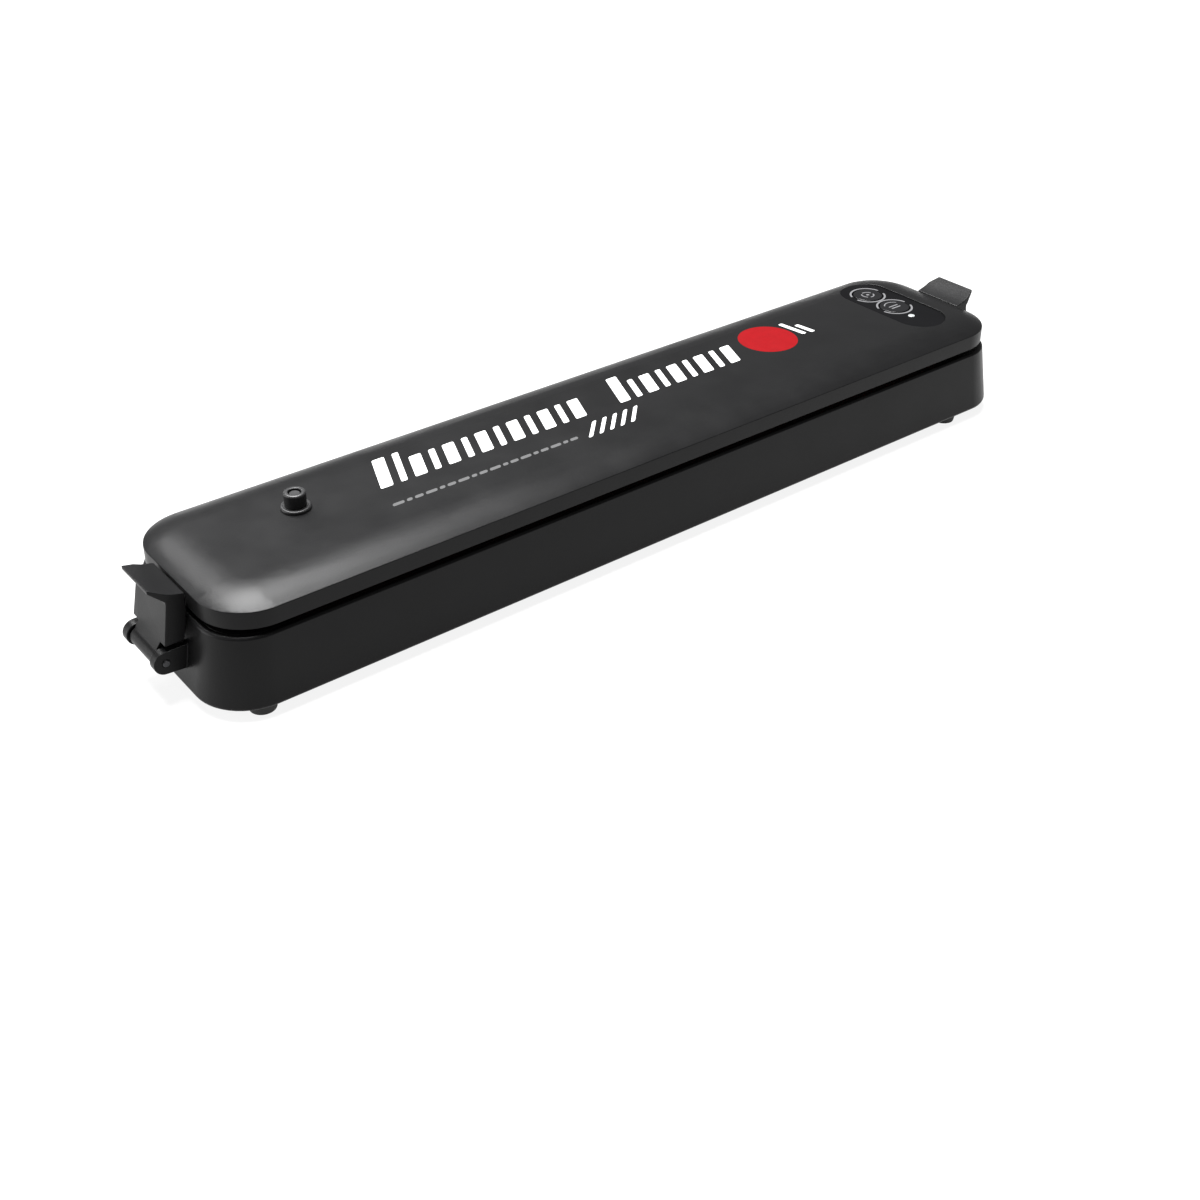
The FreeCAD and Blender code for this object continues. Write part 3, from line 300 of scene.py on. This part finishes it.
GREY_INK = printed_ink("grey_ink", (0.06, 0.06, 0.061))
RED_INK = printed_ink("red_ink", (0.115, 0.0008, 0.002))
PALE_INK = printed_ink("pale_ink", (0.085, 0.085, 0.088))

RECORD = frame["record"]
NODE_SLOT = {row["node"]: row["material_slot"] for row in RECORD["subparts"]}
NODE_BODY = {node: body for body, nodes in RECORD["behaviour"]["bodies"].items() for node in nodes}


def dress_cad_nodes():
    for node, slot in NODE_SLOT.items():
        mesh = frame["nodes"][node].data
        mesh.materials.clear()
        mesh.materials.append(MATERIALS[slot])


# ---- pieces -------------------------------------------------------------------------------
def add_piece(name, mesh, material, body, crease=40.0):
    """Puts a finished mesh in the scene, riding on a body."""
    piece = bpy.data.objects.new(name, mesh)
    bpy.context.scene.collection.objects.link(piece)
    mesh.materials.clear()
    mesh.materials.append(material)
    for face in mesh.polygons:
        face.use_smooth = True
    mesh.set_sharp_from_angle(angle=math.radians(crease))
    weighted = piece.modifiers.new("weighted_normals", "WEIGHTED_NORMAL")
    weighted.keep_sharp = True
    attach(piece, body)
    return piece


def mesh_from(shape, name):
    bmesh.ops.recalc_face_normals(shape, faces=shape.faces)
    mesh = bpy.data.meshes.new(name)
    shape.to_mesh(mesh)
    shape.free()
    return mesh


def replace_node(name, shape, node, crease=40.0):
    """Adds a shape that stands for a CAD node and keeps its body and material."""
    slot = NODE_SLOT[node]
    piece = add_piece(name, mesh_from(shape, name), MATERIALS[slot], NODE_BODY[node], crease)
    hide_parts(node)
    return piece


# Width of the rounding worked onto each node's sharp edges.
EDGE_ROUNDING = {
    "left_latch": 0.35 * MM,
    "right_latch": 0.35 * MM,
    "base_shell": 0.25 * MM,
    "lid_shell": 0.25 * MM,
    "deck_plate": 0.15 * MM,
    "vacuum_trough": 0.2 * MM,
    "lid_inner_plate": 0.15 * MM,
    "control_panel": 0.15 * MM,
    "power_inlet": 0.2 * MM,
    "bottom_cover": 0.25 * MM,
    "heater_bed": 0.12 * MM,
}
ROUNDED_ABOVE, FLAT_BELOW = math.radians(32.0), math.radians(1.0)


def softened(node, width):
    """The node's own shape with its sharp edges rounded over."""
    shape = bmesh.new()
    shape.from_mesh(frame["nodes"][node].data)
    bmesh.ops.remove_doubles(shape, verts=shape.verts, dist=0.001 * MM)
    bmesh.ops.dissolve_limit(shape, angle_limit=FLAT_BELOW, verts=shape.verts, edges=shape.edges)
    sharp = [edge for edge in shape.edges if edge.calc_face_angle(0.0) > ROUNDED_ABOVE]
    bmesh.ops.bevel(shape, geom=sharp, offset=width, segments=2, profile=0.5, affect="EDGES",
                    clamp_overlap=False)
    replace_node(node + "_rounded", shape, node)


def quarter_turns(steps, first=0.0):
    """Angles over a quarter turn, from a first angle in degrees."""
    return [math.radians(first + 90 * step / steps) for step in range(steps + 1)]


def arc(x, y, radius, start, sweep, steps):
    turns = [start + sweep * i / steps for i in range(steps + 1)]
    return [(x + radius * math.cos(turn), y + radius * math.sin(turn)) for turn in turns]


def circle(x, y, radius, steps=72):
    return arc(x, y, radius, 0.0, math.tau, steps)[:-1]


def ring_stations(half_x, half_y, radius, middle, spacing=2.5 * MM, corner_steps=14):
    """Points round a rounded rectangle with their outward directions."""
    stations = []
    for side_x, side_y, first in ((1, -1, -90), (1, 1, 0), (-1, 1, 90), (-1, -1, 180)):
        centre = Vector((middle[0] + side_x * (half_x - radius),
                         middle[1] + side_y * (half_y - radius), 0))
        for turn in quarter_turns(corner_steps, first):
            out = Vector((math.cos(turn), math.sin(turn), 0))
            stations.append((centre + out * radius, out))
        if side_x == side_y:
            run, along = 2 * (half_x - radius), Vector((-side_x, 0, 0))
        else:
            run, along = 2 * (half_y - radius), Vector((0, -side_y, 0))
        count = max(int(run / spacing), 1)
        here, out = stations[-1]
        stations += [(here + along * run * i / count, out) for i in range(1, count)]
    return stations


def swept_ring(stations, section, unevenness=0.0, seed=1):
    """A closed section of (outward, height) points swept round the stations."""
    shape = bmesh.new()
    draws = random.Random(seed)
    rings = []
    for place, out in stations:
        swell = 1 - unevenness * draws.random()
        rings.append([shape.verts.new(place + out * (outward * swell) + Vector((0, 0, height)))
                      for outward, height in section])
    for i, ring in enumerate(rings):
        following = rings[(i + 1) % len(rings)]
        for j in range(len(section)):
            k = (j + 1) % len(section)
            shape.faces.new((ring[j], following[j], following[k], ring[k]))
    return shape


def extruded(section, stations):
    """A closed section of (y, z) points carried along x; each station is (x, width factor)."""
    shape = bmesh.new()
    middle_y = sum(y for y, _ in section) / len(section)
    rings = [[shape.verts.new((x, middle_y + (y - middle_y) * factor, z)) for y, z in section]
             for x, factor in stations]
    for near, far in zip(rings, rings[1:]):
        for j in range(len(section)):
            k = (j + 1) % len(section)
            shape.faces.new((near[j], far[j], far[k], near[k]))
    shape.faces.new(rings[0])
    shape.faces.new(list(reversed(rings[-1])))
    return shape


def turned(profile, centre, segments=64):
    """A (radius, height) profile turned round a vertical axis; it starts and ends on the axis."""
    shape = bmesh.new()
    rings = []
    for radius, z in profile:
        if radius == 0:
            rings.append([shape.verts.new((*centre, z))])
        else:
            rings.append([shape.verts.new((x, y, z)) for x, y in circle(*centre, radius, segments)])
    for near, far in zip(rings, rings[1:]):
        for i in range(segments):
            k = (i + 1) % segments
            loop = (near[i % len(near)], near[k % len(near)], far[k % len(far)], far[i % len(far)])
            shape.faces.new(list(dict.fromkeys(loop)))
    return shape


def make_gasket(node, faces_up):
    """Soft ring with a rounded, slightly grooved crest, seated square in its channel."""
    low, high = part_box(node)
    width, groove, corner, steps = 4.9 * MM, (1.0 if faces_up else 0.8) * MM, 12.0 * MM, 14
    fullness, dip_depth, dip_spread, crest_width = 0.7, 0.12, 0.22, 0.94
    half = width / 2
    if faces_up:
        seat, mouth, crest = low[2], low[2] + groove, high[2]
    else:
        seat, mouth, crest = high[2], high[2] - groove, low[2]
    section = [(-half, seat), (-half, mouth)]
    for i in range(1, steps):
        turn = math.pi * i / steps
        dip = dip_depth * math.exp(-((turn - math.pi / 2) / dip_spread) ** 2)
        section.append((-crest_width * half * math.cos(turn),
                        mouth + (crest - mouth) * (math.sin(turn) ** fullness - dip)))
    section += [(half, mouth), (half, seat)]
    middle = ((low[0] + high[0]) / 2, (low[1] + high[1]) / 2)
    stations = ring_stations((high[0] - low[0]) / 2 - half, (high[1] - low[1]) / 2 - half,
                             corner - half, middle)
    shape = swept_ring(stations, section, unevenness=0.02, seed=3 if faces_up else 4)
    ring = replace_node(node + "_ring", shape, node, crease=60.0)


def make_pressure_strip():
    """Silicone bar with three soft ribs along its underside and rounded ends."""
    low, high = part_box("pressure_strip")
    half, middle_y = (high[1] - low[1]) / 2, (low[1] + high[1]) / 2
    ribs, rib_depth, rib_inset, shoulder, steps = 3, 0.55 * MM, 0.15 * MM, 0.9 * MM, 30
    rib_fullness, edge_squareness = 0.6, 8
    end_steps, end_run, end_width, spans = 8, 1.2 * MM, 0.72, 40
    section = [(middle_y - half, high[2]), (middle_y - half, low[2] + shoulder)]
    for i in range(steps + 1):
        across = -1 + 2 * i / steps
        rib = abs(math.cos(math.pi * ribs * (across + 1) / 2 + math.pi / 2)) ** rib_fullness
        edge = 1 - abs(across) ** edge_squareness
        section.append((middle_y + across * (half - rib_inset),
                        low[2] + rib_depth * (1 - rib * edge)))
    section += [(middle_y + half, low[2] + shoulder), (middle_y + half, high[2])]
    ends = [(low[0] + end_run * (1 - math.cos(turn)), end_width + (1 - end_width) * math.sin(turn))
            for turn in quarter_turns(end_steps)]
    stations = list(ends)
    stations += [(low[0] + (high[0] - low[0]) * i / spans, 1.0) for i in range(1, spans)]
    stations += [(low[0] + high[0] - x, factor) for x, factor in reversed(ends)]
    replace_node("pressure_strip_ribbed", extruded(section, stations), "pressure_strip")


def make_release_tape():
    """Thin coated cloth lying on the bed, with a faint ripple along it."""
    low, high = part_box("release_tape")
    half, middle_y = (high[1] - low[1]) / 2, (low[1] + high[1]) / 2
    thickness = 0.13 * MM
    lift = (high[2] - low[2] - thickness) / 2
    rows, columns = 260, 8
    long_wave, short_wave, short_share, ripple_depth = 7.1 * MM, 2.9 * MM, 0.6, 0.6
    skew, lean = 3, 0.3
    draws = random.Random(11)
    phases = [draws.uniform(0, math.tau) for _ in range(3)]

    def height(x, y):
        ripple = math.sin(x / long_wave + phases[0])
        ripple += short_share * math.sin(x / short_wave + phases[1] + skew * y / half)
        across = math.cos(y / half + lean * math.sin(phases[2]))
        return low[2] + lift * (1 + ripple_depth * ripple / (1 + short_share) * across)

    shape = bmesh.new()
    layers = []
    for layer in (0, 1):
        grid = []
        for i in range(rows + 1):
            x = low[0] + (high[0] - low[0]) * i / rows
            offsets = [half * (-1 + 2 * j / columns) for j in range(columns + 1)]
            grid.append([shape.verts.new((x, middle_y + y, height(x, y) + layer * thickness))
                         for y in offsets])
        layers.append(grid)
    for grid in layers:
        for i in range(rows):
            for j in range(columns):
                shape.faces.new((grid[i][j], grid[i + 1][j], grid[i + 1][j + 1], grid[i][j + 1]))
    under, over = layers
    rim = [(i, 0) for i in range(rows)] + [(rows, j) for j in range(columns)]
    rim += [(i, columns) for i in range(rows, 0, -1)] + [(0, j) for j in range(columns, 0, -1)]
    for (i, j), (k, m) in zip(rim, rim[1:] + rim[:1]):
        shape.faces.new((under[i][j], under[k][m], over[k][m], over[i][j]))
    replace_node("release_tape_cloth", shape, "release_tape")


def make_feet():
    """Turned rubber feet: a shallow tread of rings, a soft shoulder and a neck into the cover."""
    tread, neck, foot_height = 4.6 * MM, 2.5 * MM, 3.6 * MM
    rings, first_ring, ring_pitch, ring_width = 3, 0.8 * MM, 1.15 * MM, 0.8 * MM
    groove, slope = 0.3 * MM, 0.12 * MM
    for node in ("foot_front_left", "foot_front_right", "foot_rear_left", "foot_rear_right"):
        low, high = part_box(node)
        centre = ((low[0] + high[0]) / 2, (low[1] + high[1]) / 2)
        outer = (high[0] - low[0]) / 2
        bottom, top = low[2], low[2] + foot_height
        profile = [(0, bottom + groove)]
        for i in range(rings):
            inner = first_ring + ring_pitch * i
            profile += [(inner, bottom + groove), (inner + slope, bottom),
                        (inner + ring_width - slope, bottom), (inner + ring_width, bottom + groove)]
        profile += [(tread - 0.5 * MM, bottom + 0.02 * MM), (tread - 0.15 * MM, bottom + 0.15 * MM),
                    (tread + 0.02 * MM, bottom + 0.6 * MM), (outer - 0.12 * MM, top - 0.5 * MM),
                    (outer, top - 0.15 * MM), (outer - 0.1 * MM, top), (neck, top),
                    (neck, high[2] - 0.2 * MM), (neck - 0.2 * MM, high[2]), (0, high[2])]
        replace_node(node + "_turned", turned(profile, centre), node, crease=35.0)


def rounded_rim(radius, top, size, outward, steps=6):
    """Quarter round at the top of a turned wall, from its side up to its end face."""
    centre = (radius - outward * size, top - size)
    return [(centre[0] + outward * size * math.cos(turn), centre[1] + size * math.sin(turn))
            for turn in quarter_turns(steps)]


def make_port():
    """The hose spigot and its ring nut, turned smooth, with rounded rims."""
    low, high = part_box("port_fitting")
    nut_low, nut_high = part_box("port_collar")
    middle = Vector(((low[0] + high[0]) / 2, (low[1] + high[1]) / 2, 0))
    stations = [(middle, Vector((x, y, 0))) for x, y in circle(0, 0, 1)]
    spigot, relief, root, body, foot = 3.8 * MM, 3.5 * MM, 4.2 * MM, 5.4 * MM, 6.4 * MM
    bore, chamber, clearance = 2.2 * MM, 4.0 * MM, 0.02 * MM
    lid_skin, seat_depth, relief_height, foot_height = 2.0 * MM, 2.2 * MM, 0.5 * MM, 1.0 * MM
    outer_rim, bore_rim, hole_rim = 0.75 * MM, 0.35 * MM, 0.15 * MM
    relief_top, inside_top = nut_high[2] + relief_height, nut_low[2] - lid_skin
    seat, foot_top = nut_low[2] - seat_depth, low[2] + foot_height

    section = rounded_rim(spigot, high[2], outer_rim, 1)
    section += reversed(rounded_rim(bore, high[2], bore_rim, -1))
    section += [(bore, seat), (chamber, seat), (chamber, low[2]), (foot, low[2]), (foot, foot_top),
                (body, foot_top), (body, inside_top), (root, inside_top), (root, nut_high[2]),
                (relief, nut_high[2]), (relief, relief_top), (spigot, relief_top)]
    replace_node("port_fitting_turned", swept_ring(stations, section), "port_fitting", crease=50.0)

    nut, hole = (nut_high[0] - nut_low[0]) / 2, root + clearance
    section = rounded_rim(nut, nut_high[2], outer_rim, 1)
    section += reversed(rounded_rim(hole, nut_high[2], hole_rim, -1))
    section += [(hole, nut_low[2]), (nut, nut_low[2])]
    replace_node("port_collar_turned", swept_ring(stations, section), "port_collar", crease=50.0)


# ---- printed marks ------------------------------------------------------------------------
INK_SINK, INK_PROUD = 0.01 * MM, 0.03 * MM


def printed(name, outlines, top, ink, body):
    """Flat marks as thin closed solids, from just under the surface to just proud of it."""
    shape = bmesh.new()
    for outline in outlines:
        below = [shape.verts.new((x, y, top - INK_SINK)) for x, y in outline]
        above = [shape.verts.new((x, y, top + INK_PROUD)) for x, y in outline]
        for i in range(len(outline)):
            k = (i + 1) % len(outline)
            shape.faces.new((below[i], below[k], above[k], above[i]))
        shape.faces.new(above)
        shape.faces.new(list(reversed(below)))
    add_piece(name, mesh_from(shape, name), ink, body, crease=30.0)


def slanted_bar(x, y, width, height, slant=0.4, corner=0.7 * MM):
    """Outline of an upright bar leaning right, with rounded corners; (x, y) is its lower left."""
    points = []
    for side_x, side_y, first in ((1, 0, -90), (1, 1, 0), (0, 1, 90), (0, 0, 180)):
        centre_x = corner if side_x == 0 else width - corner
        centre_y = corner if side_y == 0 else height - corner
        for turn in quarter_turns(4, first):
            across = centre_x + corner * math.cos(turn)
            up = centre_y + corner * math.sin(turn)
            points.append((x + across + slant * up, y + up))
    return points


def arc_band(x, y, radius, width, start, sweep, steps=40):
    """Outline of part of a ring."""
    outer = arc(x, y, radius + width / 2, start, sweep, steps)
    inner = arc(x, y, radius - width / 2, start, sweep, steps)
    return outer + list(reversed(inner))


def bar_row(x, x_end, y, widths, gap, heights):
    """Slanted bars that fill a row: widths in turn, heights in turn until the last one stays."""
    bars = []
    while x + widths[len(bars) % len(widths)] <= x_end:
        width = widths[len(bars) % len(widths)]
        bars.append(slanted_bar(x, y, width, heights[min(len(bars), len(heights) - 1)]))
        x += width + gap
    return bars


def make_lid_marks():
    """Plain bars, dashes, stripes and a disc, with no lettering; the lid's flat top is at top."""
    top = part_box("port_collar")[0][2]
    wide_and_narrow, gap = (5.0 * MM, 2.6 * MM), 3.2 * MM
    bar_foot, tall, short = 1.0 * MM, 19.0 * MM, 13.5 * MM
    left_run, right_run = (-101.0 * MM, -12.0 * MM), (4.0 * MM, 70.0 * MM)
    bars = bar_row(*left_run, bar_foot, wide_and_narrow, gap, (tall, tall, short))
    bars += bar_row(*right_run, bar_foot, wide_and_narrow, gap, (tall, short))
    printed("lid_mark_bars", bars, top, WHITE_INK, "lid")

    dash_lengths, dash_gap, dash_height = (4.6 * MM, 2.2 * MM, 3.4 * MM), 1.0 * MM, 1.7 * MM
    dash_run, dash_foot = (-104.0 * MM, -24.0 * MM), -11.6 * MM
    dashes = bar_row(*dash_run, dash_foot, dash_lengths, dash_gap, (dash_height,))
    printed("lid_mark_dashes", dashes, top, GREY_INK, "lid")

    stripe_width, stripe_height, stripe_foot, stripe_slant = 1.9 * MM, 9.2 * MM, -13.4 * MM, 0.95
    stripes = [slanted_bar((-22.5 + 4.9 * i) * MM, stripe_foot, stripe_width, stripe_height,
                           stripe_slant) for i in range(5)]
    tick_width, tick_slant = 2.1 * MM, -0.14
    stripes += [slanted_bar((101.8 + 4.2 * i) * MM, (3.5 - 0.7 * i) * MM, tick_width,
                            (13.0 - 4.0 * i) * MM, tick_slant) for i in range(2)]
    printed("lid_mark_stripes", stripes, top, WHITE_INK, "lid")

    disc = circle(x=87.0 * MM, y=8.8 * MM, radius=12.2 * MM)
    printed("lid_mark_disc", [disc], top, RED_INK, "lid")


def make_panel_marks():
    """Pale rings round the buttons, and plain icons on the caps."""
    panel_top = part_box("control_panel")[1][2]
    centres, cap_tops = {}, {}
    for name in ("vacuum_button", "seal_button"):
        low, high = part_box(name)
        centres[name] = ((low[0] + high[0]) / 2, (low[1] + high[1]) / 2)
        cap_tops[name] = high[2]

    ring_radius, ring_width, ring_start, ring_sweep = 7.3 * MM, 0.8 * MM, 0.12, math.pi - 0.5
    rings = [arc_band(*centre, ring_radius, ring_width, ring_start + half_turn, ring_sweep)
             for centre in centres.values() for half_turn in (0, math.pi)]
    printed("panel_rings", rings, panel_top, PALE_INK, "lid")

    x, y = centres["vacuum_button"]
    swirl_radius, swirl_width, swirl_start, swirl_sweep = 2.6 * MM, 0.6 * MM, 0.25, 1.6
    vacuum_icon = [arc_band(x, y, swirl_radius, swirl_width, third * math.tau / 3 + swirl_start,
                            swirl_sweep) for third in range(3)]
    vacuum_icon.append(circle(x, y, radius=0.7 * MM, steps=24))

    x, y = centres["seal_button"]
    line_left, line_length, line_width, line_corner = x - 2.8 * MM, 5.2 * MM, 0.7 * MM, 0.3 * MM
    seal_icon = [slanted_bar(line_left, y + (-1.5 + 1.7 * i) * MM, line_length, line_width,
                             slant=0.0, corner=line_corner) for i in range(2)]
    bow_radius, bow_width, bow_start, bow_sweep = 4.2 * MM, 0.5 * MM, 0.6, 1.9
    seal_icon.append(arc_band(x, y, bow_radius, bow_width, bow_start, bow_sweep))

    for name, icon in (("vacuum_button", vacuum_icon), ("seal_button", seal_icon)):
        printed(name + "_icon", icon, cap_tops[name], PALE_INK, name)


# ---- stage --------------------------------------------------------------------------------
FLOOR_HALF, FLOOR_GLOW = 6.0, 0.88
FLOOR_DARK, FLOOR_MIDDLE, FLOOR_LIGHT = (0.115,) * 3, (0.12,) * 3, (0.125,) * 3
WORLD_GLOW = 0.22


def make_floor():
    mesh = bpy.data.meshes.new("floor")
    corners = [(side_x * FLOOR_HALF, side_y * FLOOR_HALF, 0)
               for side_x, side_y in ((-1, -1), (1, -1), (1, 1), (-1, 1))]
    mesh.from_pydata(corners, [], [(0, 1, 2, 3)])
    floor = bpy.data.objects.new("floor", mesh)
    bpy.context.scene.collection.objects.link(floor)
    made = Material("floor", FLOOR_MIDDLE, roughness=0.9)
    made.set("Specular IOR Level", 0.0)
    made.set("Emission Color", (1.0, 1.0, 1.0, 1.0))
    made.set("Emission Strength", FLOOR_GLOW)
    made.vary_colour(made.noise(scale=3.0), FLOOR_DARK, FLOOR_LIGHT)
    floor.data.materials.append(made.data)


def area_light(name, place, target, size, power):
    data = bpy.data.lights.new(name, "AREA")
    data.shape = "RECTANGLE"
    data.size, data.size_y = size
    data.energy = power
    light = bpy.data.objects.new(name, data)
    bpy.context.scene.collection.objects.link(light)
    light.location = place
    light.rotation_mode = "QUATERNION"
    light.rotation_quaternion = (Vector(target) - Vector(place)).to_track_quat("-Z", "Y")


def make_lights():
    world = bpy.data.worlds.new("studio")
    bpy.context.scene.world = world
    world.use_nodes = True
    background = world.node_tree.nodes["Background"]
    background.inputs["Color"].default_value = (1.0, 1.0, 1.0, 1.0)
    background.inputs["Strength"].default_value = WORLD_GLOW
    area_light("overhead_softbox", (-0.05, 0.32, 1.2), (-0.05, 0.32, 0.0), (0.7, 0.8), power=88.0)
    area_light("rear_softbox", (-0.2, 1.15, 1.2), (-0.2, 0, 0), (0.35, 0.4), power=12.0)
    area_light("left_softbox", (-0.95, 0.5, 0.3), (-0.2, 0, 0.02), (0.5, 0.5), power=5.0)


# ---- build --------------------------------------------------------------------------------
make_camera()
make_floor()
make_lights()
dress_cad_nodes()
for node, width in EDGE_ROUNDING.items():
    softened(node, width)
make_gasket("lower_gasket", faces_up=True)
make_gasket("upper_gasket", faces_up=False)
make_pressure_strip()
make_release_tape()
make_feet()
make_port()
make_lid_marks()
make_panel_marks()
bpy.context.scene.view_settings.view_transform = "Standard"

bpy.context.view_layer.update()
